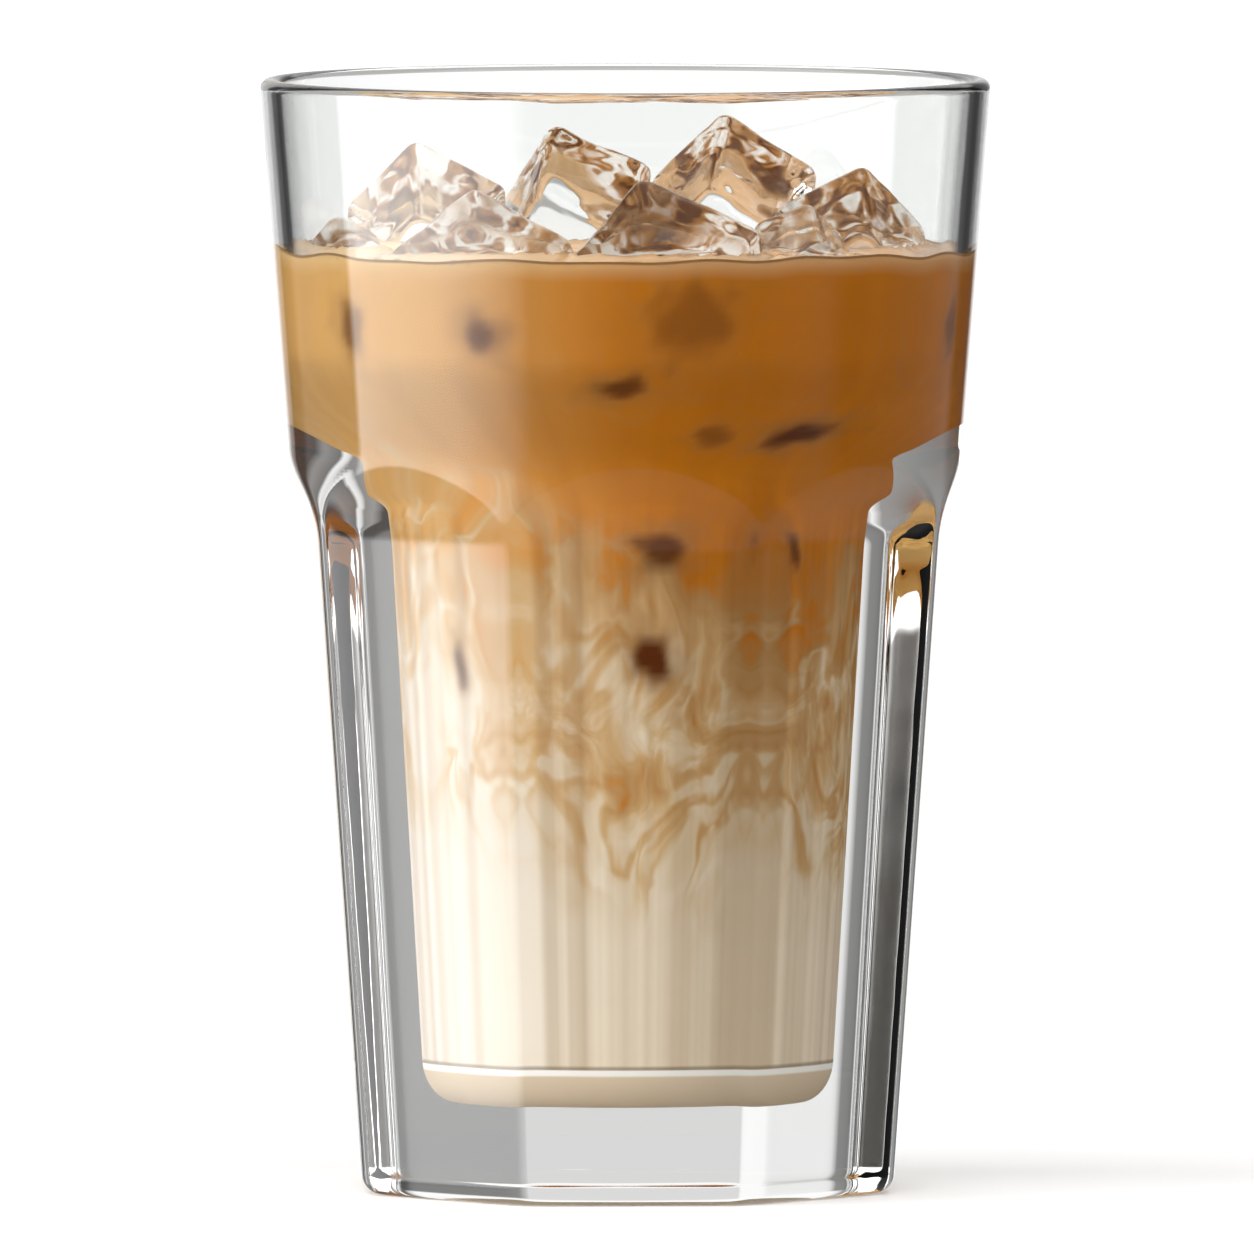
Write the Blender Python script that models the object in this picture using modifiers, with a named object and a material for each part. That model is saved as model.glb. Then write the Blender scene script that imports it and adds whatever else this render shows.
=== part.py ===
"""Iced latte: a heavy eight-sided tumbler, milk under coffee, and nine ice cubes standing out of the drink.

Metres, +Z up. The origin is the centre of the tumbler's foot, and the viewer stands at -Y.
"""

import math
from typing import NamedTuple

import bmesh
import bpy
from mathutils import Euler, Matrix, Vector

Point = tuple[float, float]

MM = 0.001
GAP = 0.3 * MM
MERGE = 0.01 * MM

# Tumbler, outside
HEIGHT = 140 * MM
RIM_RADIUS = 46 * MM
CONE_TAPER = 0.0788
LIP_RADIUS = 1.25 * MM
LIP_STEPS = 6
FOOT_ROUND = 2.5 * MM
FOOT_STEPS = 3
RIDGE_TOP = 94 * MM
RIDGE_SHOULDER = 86 * MM
RIDGE_SHOULDER_RADIUS = 42.2 * MM
RIDGE_TAPER = 0.0733
TURN_STEPS = 64

# Flat panels round the lower part
PANELS = 8
PANEL_TURN = math.radians(1.75)
PANEL_DISTANCE_AT_FOOT = 33.4 * MM
PANEL_TAPER = 0.0685
PANEL_COVE_START = 82 * MM
PANEL_COVE_RADIUS = 17 * MM
PANEL_COVE_ANGLE = math.radians(24)
PANEL_COVE_STEPS = 3
PANEL_CUT_REACH = 52 * MM
PANEL_CUT_HALF_WIDTH = 20 * MM
PANEL_CUT_DEPTH = 6 * MM

# Tumbler, inside
WALL = 2.5 * MM
FLOOR_HEIGHT = 12 * MM
FLOOR_ROUND = 5 * MM
FLOOR_STEPS = 4
WELL_RADIUS_AT_FLOOR = 18.2 * MM
WELL_RADIUS_AT_STEP = 21.8 * MM
STEP_BOTTOM = 90 * MM
STEP_TOP = 107 * MM
STEP_ROWS = 6

# Drink
DRINK_LEVEL = 117.9 * MM
MENISCUS_RISE = 0.9 * MM
MENISCUS_WIDTH = 3.5 * MM
LAYER_HEIGHT = 54 * MM
LAYER_WAVE = 2.2 * MM
LAYER_WAVE_LENGTH = 27 * MM
LAYER_OVERLAP = 9 * MM
LAYER_GAP = 0.45 * MM
LAYER_CUT_HALF = 40 * MM
LAYER_GRID = 12

# Ice
ICE_ROUND = 2.2 * MM
ICE_ROUND_STEPS = 2


class IceCube(NamedTuple):
    """One cube: its highest corner, its three edges and how it lies, in millimetres and degrees."""

    name: str
    corner: tuple[float, float, float]
    edges: tuple[float, float, float]
    azimuth: float
    lean_right: float
    lean_front: float


ICE_CUBES = (
    IceCube("ice_cube_far_left", (-36.6, -3.0, 124.0), (8, 8, 9), -80, -12, 4),
    IceCube("ice_cube_left_back", (-27.0, 13.5, 132.8), (16, 16, 15), -92, -7, 8),
    IceCube("ice_cube_left_front", (-18.9, -13.5, 128.0), (17, 17, 15), 95, -4, -14),
    IceCube("ice_cube_back", (-9.3, 23.1, 134.2), (15, 16, 15), -108, -12, 2),
    IceCube("ice_cube_front", (1.7, -17.0, 129.4), (17, 19, 16), 95, -12, -8),
    IceCube("ice_cube_tall", (12.6, 15.0, 136.2), (16, 17, 16), -100, -3, 4),
    IceCube("ice_cube_right", (30.2, -0.5, 130.2), (15, 15, 14), -85, 8, 6),
    IceCube("ice_cube_small", (23.1, -15.1, 126.2), (10, 9, 10), -70, 10, 14),
    IceCube("ice_cube_low", (24.6, -22.4, 121.8), (9, 8, 8), 95, 5, -16),
)


def clear_scene() -> None:
    """Remove every object of the open file."""
    for item in list(bpy.data.objects):
        bpy.data.objects.remove(item, do_unlink=True)


def collection(name: str) -> bpy.types.Collection:
    """Make a collection in the scene."""
    made = bpy.data.collections.new(name)
    bpy.context.scene.collection.children.link(made)
    return made


def material(name: str, colour: tuple[float, float, float], roughness: float) -> bpy.types.Material:
    """Make a non-metallic Principled material."""
    made = bpy.data.materials.new(name)
    made.use_nodes = True
    shader = made.node_tree.nodes["Principled BSDF"]
    shader.inputs["Base Color"].default_value = (*colour, 1.0)
    shader.inputs["Roughness"].default_value = roughness
    shader.inputs["Metallic"].default_value = 0.0
    return made


def add_object(name: str, mesh: bpy.types.Mesh, home: bpy.types.Collection) -> bpy.types.Object:
    """Put a mesh into a collection as an object."""
    made = bpy.data.objects.new(name, mesh)
    home.objects.link(made)
    return made


def as_cutter(item: bpy.types.Object) -> bpy.types.Object:
    """Mark an object as a tool that cuts others."""
    item.hide_render = True
    item.display_type = "WIRE"
    return item


def cut(item: bpy.types.Object, cutter: bpy.types.Object) -> None:
    """Take the cutter's shape out of an object."""
    modifier = item.modifiers.new(f"cut {cutter.name}", "BOOLEAN")
    modifier.operation = "DIFFERENCE"
    modifier.solver = "EXACT"
    modifier.object = cutter


def turned(name: str, profile: list[Point], home: bpy.types.Collection) -> bpy.types.Object:
    """Turn a profile of (radius, height) points round the Z axis.

    The profile starts and ends on the axis, and runs down where it faces outwards.
    """
    mesh = bpy.data.meshes.new(name)
    points = [(radius, 0.0, height) for radius, height in profile]
    edges = [(index, index + 1) for index in range(len(points) - 1)]
    mesh.from_pydata(points, edges, [])
    made = add_object(name, mesh, home)
    screw = made.modifiers.new("turn", "SCREW")
    screw.steps = TURN_STEPS
    screw.render_steps = TURN_STEPS
    screw.use_merge_vertices = True
    screw.merge_threshold = MERGE
    screw.use_smooth_shade = True
    return made


def arc(centre: Point, radius: float, start: float, end: float, steps: int) -> list[Point]:
    """Points on an arc from one angle to another, in degrees."""
    turns = [math.radians(start + (end - start) * index / steps) for index in range(steps + 1)]
    return [(centre[0] + radius * math.cos(turn), centre[1] + radius * math.sin(turn)) for turn in turns]


def ease(share: float) -> float:
    """A smooth step from 0 to 1."""
    return share * share * (3 - 2 * share)


def cone_radius(height: float) -> float:
    """Radius of the tumbler's outer cone."""
    return RIM_RADIUS - (HEIGHT - LIP_RADIUS - height) * CONE_TAPER


def ridge_radius(height: float) -> float:
    """Radius of the narrow ridges that stay between the panels."""
    return RIDGE_SHOULDER_RADIUS - (RIDGE_SHOULDER - height) * RIDGE_TAPER


def well_radius(height: float) -> float:
    """Radius of the inside of the tumbler, above its rounded floor edge."""
    if height >= STEP_TOP:
        return cone_radius(height) - WALL
    if height >= STEP_BOTTOM:
        share = ease((height - STEP_BOTTOM) / (STEP_TOP - STEP_BOTTOM))
        return WELL_RADIUS_AT_STEP + share * (cone_radius(STEP_TOP) - WALL - WELL_RADIUS_AT_STEP)
    share = (height - FLOOR_HEIGHT) / (STEP_BOTTOM - FLOOR_HEIGHT)
    return WELL_RADIUS_AT_FLOOR + share * (WELL_RADIUS_AT_STEP - WELL_RADIUS_AT_FLOOR)


def wall_inset(height: float, inset: float) -> float:
    """Sideways distance that keeps the inset square to the sloping wall."""
    slope = (well_radius(height + MM / 2) - well_radius(height - MM / 2)) / MM
    return inset * math.hypot(1, slope)


def step_heights() -> list[float]:
    """Heights that follow the inner step, from its bottom to its top."""
    rise = (STEP_TOP - STEP_BOTTOM) / STEP_ROWS
    return [STEP_BOTTOM + rise * index for index in range(STEP_ROWS + 1)]


def well_profile(inset: float) -> list[Point]:
    """The inside from the middle of the floor up to the step's top, moved inwards by the inset."""
    radius = FLOOR_ROUND - inset
    height = FLOOR_HEIGHT + FLOOR_ROUND
    centre = (well_radius(height) - FLOOR_ROUND, height)
    points = [(0.0, FLOOR_HEIGHT + inset)]
    points += arc(centre, radius, -90, 0, FLOOR_STEPS)
    points += [(well_radius(height) - wall_inset(height, inset), height) for height in step_heights()]
    return points


def glass_profile() -> list[Point]:
    """The whole wall: up the inside, over the lip and down the outside."""
    lip_height = HEIGHT - LIP_RADIUS
    foot_radius = ridge_radius(FOOT_ROUND)
    points = well_profile(0.0)
    points += arc((RIM_RADIUS - LIP_RADIUS, lip_height), LIP_RADIUS, 180, 0, LIP_STEPS)
    points += [(cone_radius(RIDGE_TOP), RIDGE_TOP), (RIDGE_SHOULDER_RADIUS, RIDGE_SHOULDER)]
    points += arc((foot_radius - FOOT_ROUND, FOOT_ROUND), FOOT_ROUND, 0, -90, FOOT_STEPS)
    points += [(0.0, 0.0)]
    return points


def panel_distance(height: float) -> float:
    """Distance of a panel's plane from the axis."""
    return PANEL_DISTANCE_AT_FOOT + height * PANEL_TAPER


def panel_outline() -> list[Point]:
    """Side view of the block that cuts a panel: flat, then a cove out through the cone above it."""
    flat = math.atan(PANEL_TAPER)
    start = (panel_distance(PANEL_COVE_START), PANEL_COVE_START)
    centre = (
        start[0] + PANEL_COVE_RADIUS * math.cos(flat),
        start[1] - PANEL_COVE_RADIUS * math.sin(flat),
    )
    first = 180 - math.degrees(flat)
    last = first - math.degrees(PANEL_COVE_ANGLE)
    cove = arc(centre, PANEL_COVE_RADIUS, first, last, PANEL_COVE_STEPS)
    end = cove[-1]
    slope = math.tan(flat + PANEL_COVE_ANGLE)
    rise = (PANEL_CUT_REACH - end[0]) / slope
    foot = panel_distance(FOOT_ROUND)
    base = arc((foot - FOOT_ROUND, FOOT_ROUND), FOOT_ROUND, -90, 0, FOOT_STEPS)
    points = [(base[0][0], -PANEL_CUT_DEPTH)]
    points += base
    points += cove
    points += [(PANEL_CUT_REACH, end[1] + rise), (PANEL_CUT_REACH, -PANEL_CUT_DEPTH)]
    return points


def prism_mesh(name: str, outline: list[Point], half_width: float) -> bpy.types.Mesh:
    """Extrude a closed outline both ways into a mesh."""
    curve = bpy.data.curves.new(name, "CURVE")
    curve.dimensions = "2D"
    curve.fill_mode = "BOTH"
    curve.extrude = half_width
    spline = curve.splines.new("POLY")
    spline.points.add(len(outline) - 1)
    for point, (across, up) in zip(spline.points, outline):
        point.co = (across, up, 0.0, 1.0)
    spline.use_cyclic_u = True
    guide = bpy.data.objects.new(name, curve)
    bpy.context.scene.collection.objects.link(guide)
    evaluated = guide.evaluated_get(bpy.context.evaluated_depsgraph_get())
    mesh = bpy.data.meshes.new_from_object(evaluated)
    bpy.data.objects.remove(guide)
    work = bmesh.new()
    work.from_mesh(mesh)
    bmesh.ops.remove_doubles(work, verts=work.verts, dist=MERGE)
    bmesh.ops.recalc_face_normals(work, faces=work.faces)
    work.to_mesh(mesh)
    work.free()
    return mesh


def panel_cutters(home: bpy.types.Collection) -> list[bpy.types.Object]:
    """The ring of blocks that cut the panels."""
    ring = bpy.data.objects.new("panel_ring", None)
    home.objects.link(ring)
    ring.rotation_euler.z = PANEL_TURN
    mesh = prism_mesh("panel_block", panel_outline(), PANEL_CUT_HALF_WIDTH)
    cutters = []
    for index in range(PANELS):
        block = as_cutter(add_object(f"panel_block_{index + 1}", mesh, home))
        block.parent = ring
        block.rotation_euler = Euler((math.pi / 2, 0.0, index * math.tau / PANELS - math.pi / 2))
        cutters.append(block)
    return cutters


def make_glass(parts: bpy.types.Collection, cutters: bpy.types.Collection) -> None:
    """The tumbler: a turned body with eight panels cut round it."""
    glass = turned("glass", glass_profile(), parts)
    glass.data.materials.append(material("Clear glass", (0.92, 0.94, 0.94), 0.03))
    for block in panel_cutters(cutters):
        cut(glass, block)


def layer_wave(across: float, back: float) -> float:
    """Height of the border between milk and coffee."""
    turn = math.tau / LAYER_WAVE_LENGTH
    long_wave = math.sin(turn * across)
    cross_wave = 0.6 * math.cos(turn * (0.8 * back + 0.7 * across))
    return LAYER_HEIGHT + LAYER_WAVE * (long_wave + cross_wave)


def layer_cutter(name: str, shift: float, reach: float, home: bpy.types.Collection) -> bpy.types.Object:
    """A block with one wavy face at the layers' border and its other end at the height of reach."""
    work = bmesh.new()
    bmesh.ops.create_grid(work, x_segments=LAYER_GRID, y_segments=LAYER_GRID, size=LAYER_CUT_HALF)
    bmesh.ops.triangulate(work, faces=work.faces, quad_method="FIXED")
    wavy = list(work.verts)
    raised = bmesh.ops.extrude_face_region(work, geom=work.faces[:])["geom"]
    for vertex in wavy:
        vertex.co.z = layer_wave(vertex.co.x, vertex.co.y) + shift
    for vertex in raised:
        if isinstance(vertex, bmesh.types.BMVert):
            vertex.co.z = reach
    bmesh.ops.recalc_face_normals(work, faces=work.faces)
    mesh = bpy.data.meshes.new(name)
    work.to_mesh(mesh)
    work.free()
    return as_cutter(add_object(name, mesh, home))


def milk_profile() -> list[Point]:
    """The narrow well's filling, taller than the milk before its wavy cut."""
    top = LAYER_HEIGHT + LAYER_OVERLAP
    below = [point for point in well_profile(GAP) if point[1] < top]
    return [(0.0, top), (well_radius(top) - GAP, top)] + below[::-1]


def coffee_profile() -> list[Point]:
    """The drink above the milk: level surface, rising edge, then down the wall."""
    bottom = LAYER_HEIGHT - LAYER_OVERLAP
    edge = well_radius(DRINK_LEVEL) - GAP
    points = [
        (0.0, DRINK_LEVEL),
        (edge - MENISCUS_WIDTH, DRINK_LEVEL),
        (edge - MENISCUS_WIDTH / 3, DRINK_LEVEL + MENISCUS_RISE / 3),
        (edge, DRINK_LEVEL + MENISCUS_RISE),
    ]
    for height in reversed(step_heights()):
        points.append((well_radius(height) - wall_inset(height, GAP), height))
    points += [(well_radius(bottom) - GAP, bottom), (0.0, bottom)]
    return points


def ice_matrix(cube: IceCube) -> Matrix:
    """Place of a cube's middle, with its highest corner where the cube says."""
    upright = Vector((1, 1, 1)).rotation_difference(Vector((0, 0, 1))).to_matrix()
    turn = Euler((0, 0, math.radians(cube.azimuth - 45))).to_matrix()
    lean = Euler((math.radians(cube.lean_front), math.radians(cube.lean_right), 0)).to_matrix()
    rotation = lean @ turn @ upright
    middle = Vector(cube.corner) * MM - rotation @ (Vector(cube.edges) * MM / 2)
    return Matrix.Translation(middle) @ rotation.to_4x4()


def ice_object(cube: IceCube, name: str, grow: float, home: bpy.types.Collection) -> bpy.types.Object:
    """A rounded cube, larger by the given gap on every side."""
    work = bmesh.new()
    bmesh.ops.create_cube(work, size=1.0)
    edges = Vector(cube.edges) * MM + Vector((2 * grow,) * 3)
    bmesh.ops.scale(work, vec=edges, verts=work.verts)
    mesh = bpy.data.meshes.new(name)
    work.to_mesh(mesh)
    work.free()
    made = add_object(name, mesh, home)
    made.matrix_world = ice_matrix(cube)
    rounding = made.modifiers.new("rounded edges", "BEVEL")
    rounding.width = ICE_ROUND
    rounding.segments = ICE_ROUND_STEPS
    return made


def make_drink(parts: bpy.types.Collection, cutters: bpy.types.Collection) -> None:
    """Milk below, coffee above it, with a gap between them and round the ice."""
    milk = turned("milk_layer", milk_profile(), parts)
    milk.data.materials.append(material("Cold milk", (0.82, 0.75, 0.66), 0.35))
    cut(milk, layer_cutter("milk_top_cut", -LAYER_GAP / 2, STEP_TOP, cutters))
    coffee = turned("coffee_layer", coffee_profile(), parts)
    coffee.data.materials.append(material("Milky coffee", (0.60, 0.35, 0.14), 0.3))
    cut(coffee, layer_cutter("coffee_bottom_cut", LAYER_GAP / 2, FLOOR_HEIGHT, cutters))
    for cube in ICE_CUBES:
        cutter = as_cutter(ice_object(cube, f"{cube.name}_cut", GAP, cutters))
        cut(coffee, cutter)


def make_ice(parts: bpy.types.Collection) -> None:
    """The cubes that stand out of the drink."""
    for cube in ICE_CUBES:
        made = ice_object(cube, cube.name, 0.0, parts)
        made.data.materials.append(material(f"Ice {cube.name}", (0.87, 0.88, 0.88), 0.1))


def main() -> None:
    """Build the glass, the drink and the ice."""
    clear_scene()
    parts = collection("iced_latte")
    cutters = collection("cutters")
    make_glass(parts, cutters)
    make_drink(parts, cutters)
    make_ice(parts)


main()
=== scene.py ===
"""Iced latte in a heavy tumbler with eight flat panels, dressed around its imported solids.

Metres, +Z up, the origin in the middle of the tumbler's foot, the viewer at -Y. Azimuths are in degrees,
0 at the front and growing to the viewer's right.
"""

import logging
import math
import random
from dataclasses import dataclass
from enum import Enum
from itertools import pairwise
from typing import Callable

import bpy
from mathutils import Euler, Matrix, Vector, noise


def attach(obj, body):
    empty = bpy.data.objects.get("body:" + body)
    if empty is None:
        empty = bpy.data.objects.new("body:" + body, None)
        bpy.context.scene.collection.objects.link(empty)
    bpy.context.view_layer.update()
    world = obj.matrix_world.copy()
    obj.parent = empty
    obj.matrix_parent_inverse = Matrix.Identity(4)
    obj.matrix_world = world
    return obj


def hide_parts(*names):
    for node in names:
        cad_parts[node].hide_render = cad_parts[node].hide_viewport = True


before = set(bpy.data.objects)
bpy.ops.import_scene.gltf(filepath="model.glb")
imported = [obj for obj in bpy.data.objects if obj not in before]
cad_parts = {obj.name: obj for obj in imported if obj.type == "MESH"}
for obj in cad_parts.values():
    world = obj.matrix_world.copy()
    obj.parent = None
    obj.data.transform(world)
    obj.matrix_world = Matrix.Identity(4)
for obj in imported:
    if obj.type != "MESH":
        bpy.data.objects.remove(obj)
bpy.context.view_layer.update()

log = logging.getLogger("iced_latte")

Point = tuple[float, float]
Colour = tuple[float, float, float, float]
Node = bpy.types.Node
Tree = bpy.types.NodeTree

MM = 0.001
MERGE = 0.005 * MM
HOLD = 0.12 * MM


# Small tools


def linear(hex_colour: str) -> Colour:
    """Turn an sRGB hex colour to the linear values of a shader.

    Args:
        hex_colour: Six hex digits after a hash sign.

    Returns:
        Red, green, blue and a full alpha.
    """
    values = []
    for index in (1, 3, 5):
        share = int(hex_colour[index : index + 2], 16) / 255
        values.append(share / 12.92 if share <= 0.04045 else ((share + 0.055) / 1.055) ** 2.4)
    return (values[0], values[1], values[2], 1.0)


def ease(share: float) -> float:
    """Smooth step from 0 to 1, flat outside."""
    share = min(1.0, max(0.0, share))
    return share * share * (3 - 2 * share)


def soft_min(first: float, second: float, width: float) -> float:
    """Lower one of two values, rounded off where they are less than a width apart."""
    share = max(width - abs(first - second), 0.0) / width
    return min(first, second) - share * share * width / 4


def arc(centre: Point, radius: float, start: float, end: float, steps: int) -> list[Point]:
    """Points on an arc.

    Args:
        centre: Middle of the arc.
        radius: Its radius.
        start: Angle of its first point, in degrees.
        end: Angle of its last point, in degrees.
        steps: Number of stretches between its points.

    Returns:
        The points, both ends among them.
    """
    turns = [math.radians(start + (end - start) * index / steps) for index in range(steps + 1)]
    return [(centre[0] + radius * math.cos(turn), centre[1] + radius * math.sin(turn)) for turn in turns]


def spread(start: float, end: float, pitch: float) -> list[float]:
    """Evenly spaced values from start to end, both among them, about a pitch apart."""
    count = max(1, round(abs(end - start) / pitch))
    return [start + (end - start) * index / count for index in range(count + 1)]


def select_only(piece: bpy.types.Object) -> None:
    """Make a piece the only one selected, and the active one."""
    bpy.ops.object.select_all(action="DESELECT")
    piece.select_set(True)
    bpy.context.view_layer.objects.active = piece


def name_piece(piece: bpy.types.Object, name: str) -> bpy.types.Object:
    """Name an object and its mesh."""
    piece.name = name
    piece.data.name = name
    return piece


def settle(piece: bpy.types.Object) -> None:
    """Move a piece's place, turn and size into its mesh."""
    select_only(piece)
    bpy.ops.object.transform_apply(location=True, rotation=True, scale=True)


def turned_piece(name: str, profile: list[Point], columns: int) -> bpy.types.Object:
    """Draw a profile point by point and spin it round the Z axis into a closed body.

    Args:
        name: Name of the piece.
        profile: Points of (radius, height), which start and end on the axis.
        columns: Number of stretches round the body.

    Returns:
        The body, with its faces outwards.
    """
    bpy.ops.object.select_all(action="DESELECT")
    first = profile[0]
    bpy.ops.mesh.primitive_plane_add(size=MM, location=(first[0], 0.0, first[1]))
    piece = name_piece(bpy.context.object, name)
    settle(piece)
    bpy.ops.object.mode_set(mode="EDIT")
    bpy.ops.mesh.select_all(action="SELECT")
    bpy.ops.mesh.merge(type="CENTER")
    for before, after in pairwise(profile):
        step = (after[0] - before[0], 0.0, after[1] - before[1])
        bpy.ops.mesh.extrude_region_move(TRANSFORM_OT_translate={"value": step})
    bpy.ops.mesh.select_all(action="SELECT")
    bpy.ops.mesh.spin(steps=columns, angle=math.tau, center=(0, 0, 0), axis=(0, 0, 1))
    bpy.ops.mesh.select_all(action="SELECT")
    bpy.ops.mesh.remove_doubles(threshold=MERGE)
    bpy.ops.mesh.normals_make_consistent(inside=False)
    bpy.ops.object.mode_set(mode="OBJECT")
    bpy.ops.object.shade_smooth()
    return piece


def move_points(piece: bpy.types.Object, place: Callable[[Vector], Vector]) -> None:
    """Move every point of a piece's mesh.

    Args:
        piece: The piece.
        place: Gives a point's new place from its old one.
    """
    for vertex in piece.data.vertices:
        vertex.co = place(vertex.co)
    piece.data.update()


def write_marks(mesh: bpy.types.Mesh, name: str, values: list[float]) -> None:
    """Write one number for every point of a mesh, for its material to read.

    Args:
        mesh: The mesh.
        name: Name of the attribute.
        values: The numbers, in the order of the points.
    """
    mark = mesh.attributes.new(name, "FLOAT", "POINT")
    mark.data.foreach_set("value", values)


def apply_modifier(piece: bpy.types.Object, kind: str, settings: dict[str, object]) -> None:
    """Add a modifier with its settings and apply it.

    Args:
        piece: The piece.
        kind: Kind of modifier.
        settings: Values of its properties, by name.
    """
    select_only(piece)
    modifier = piece.modifiers.new(kind.lower(), kind)
    for key, value in settings.items():
        setattr(modifier, key, value)
    bpy.ops.object.modifier_apply(modifier=modifier.name)


def new_material(name: str, values: dict[str, object]) -> tuple[Tree, Node, bpy.types.Material]:
    """Make a material.

    Args:
        name: Name of the real material.
        values: Values of its shader's inputs, by name.

    Returns:
        Its node tree, its Principled shader and the material.
    """
    made = bpy.data.materials.new(name)
    made.use_nodes = True
    shader = made.node_tree.nodes["Principled BSDF"]
    for key, value in values.items():
        shader.inputs[key].default_value = value
    return made.node_tree, shader, made


def add_node(tree: Tree, kind: str, values: dict[str | int, object] | None = None) -> Node:
    """Add a node with its settings and its links.

    Args:
        tree: Node tree that gets the node.
        kind: Node type, without its ShaderNode prefix.
        values: Values of its properties, by name, and of its inputs, by name or number. A link is given as
            the node it comes from and the name or number of that node's output.

    Returns:
        The node.
    """
    node = tree.nodes.new(f"ShaderNode{kind}")
    for key, value in (values or {}).items():
        if isinstance(value, tuple) and isinstance(value[0], Node):
            tree.links.new(value[0].outputs[value[1]], node.inputs[key])
        elif isinstance(key, str) and hasattr(node, key):
            setattr(node, key, value)
        else:
            node.inputs[key].default_value = value
    return node


def set_ramp(node: Node, stops: list[tuple[float, Colour]]) -> None:
    """Give a colour ramp its stops.

    Args:
        node: The ramp.
        stops: Place and colour of each stop, from left to right.
    """
    ramp = node.color_ramp
    while len(ramp.elements) > 1:
        ramp.elements.remove(ramp.elements[-1])
    ramp.elements[0].position, ramp.elements[0].color = stops[0]
    for position, colour in stops[1:]:
        ramp.elements.new(position).color = colour


# Finishes


@dataclass(frozen=True)
class PressedGlass:
    """Soda-lime glass, pressed in a mould and fire-polished: clear, with very slight waves."""

    ior: float = 1.45
    tint: str = "#FBFCFB"
    roughness: float = 0.0
    wave_length: float = 9 * MM
    wave_depth: float = 0.010 * MM

    def material(self) -> bpy.types.Material:
        """Make the material."""
        values = {
            "Base Color": linear(self.tint),
            "Transmission Weight": 1.0,
            "IOR": self.ior,
            "Roughness": self.roughness,
        }
        tree, shader, made = new_material("Pressed soda-lime glass", values)
        place = add_node(tree, "TexCoord")
        waves = add_node(tree, "TexNoise", {
            "Scale": 1 / self.wave_length, "Detail": 1.0, "Roughness": 0.4, "Vector": (place, "Object"),
        })
        bump = add_node(tree, "Bump", {
            "Distance": self.wave_depth, "Strength": 1.0, "Height": (waves, "Fac"),
        })
        tree.links.new(bump.outputs["Normal"], shader.inputs["Normal"])
        return made


@dataclass(frozen=True)
class ClearIce:
    """Clear machine-made ice, wet from melting: smooth shallow dents and a few trapped specks."""

    ior: float = 1.31
    tint: str = "#FCFDFD"
    dent_length: float = 4.5 * MM
    dent_depth: float = 0.10 * MM
    speck_pitch: float = 3.3 * MM
    speck_edge: tuple[float, float] = (0.05, 0.10)
    roughness: tuple[float, float] = (0.25, 0.015)

    def material(self) -> bpy.types.Material:
        """Make the material."""
        values = {"Base Color": linear(self.tint), "Transmission Weight": 1.0, "IOR": self.ior}
        tree, shader, made = new_material("Wet clear ice", values)
        place = add_node(tree, "TexCoord")
        dents = add_node(tree, "TexNoise", {
            "Scale": 1 / self.dent_length, "Detail": 2.0, "Roughness": 0.45, "Vector": (place, "Object"),
        })
        specks = add_node(tree, "TexVoronoi", {
            "Scale": 1 / self.speck_pitch, "Randomness": 1.0, "Vector": (place, "Object"),
        })
        frost = add_node(tree, "MapRange", {
            "From Min": self.speck_edge[0], "From Max": self.speck_edge[1], "To Min": self.roughness[0],
            "To Max": self.roughness[1], "Value": (specks, "Distance"),
        })
        tree.links.new(frost.outputs["Result"], shader.inputs["Roughness"])
        bump = add_node(tree, "Bump", {
            "Distance": self.dent_depth, "Strength": 0.8, "Height": (dents, "Fac"),
        })
        tree.links.new(bump.outputs["Normal"], shader.inputs["Normal"])
        return made


@dataclass(frozen=True)
class BubbleFilm:
    """Small air bubbles with a wall of thin milky coffee."""

    tint: str = "#F1DDBF"
    clear: str = "#FFFFFF"
    swirl_length: float = 1.5 * MM
    see_through: float = 0.9
    ior: float = 1.2
    roughness: float = 0.02

    def material(self) -> bpy.types.Material:
        """Make the material."""
        values = {"Transmission Weight": self.see_through, "IOR": self.ior, "Roughness": self.roughness}
        tree, shader, made = new_material("Coffee bubble film", values)
        place = add_node(tree, "TexCoord")
        swirl = add_node(tree, "TexNoise", {"Scale": 1 / self.swirl_length, "Vector": (place, "Object")})
        tone = add_node(tree, "Mix", {
            "data_type": "RGBA", 6: linear(self.tint), 7: linear(self.clear), 0: (swirl, "Fac"),
        })
        tree.links.new(tone.outputs[2], shader.inputs["Base Color"])
        return made


class DrinkSide(Enum):
    """Where a face of the drink lies: against the wall, or open to the air."""

    WALL = 0
    TOP = 1


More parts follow.
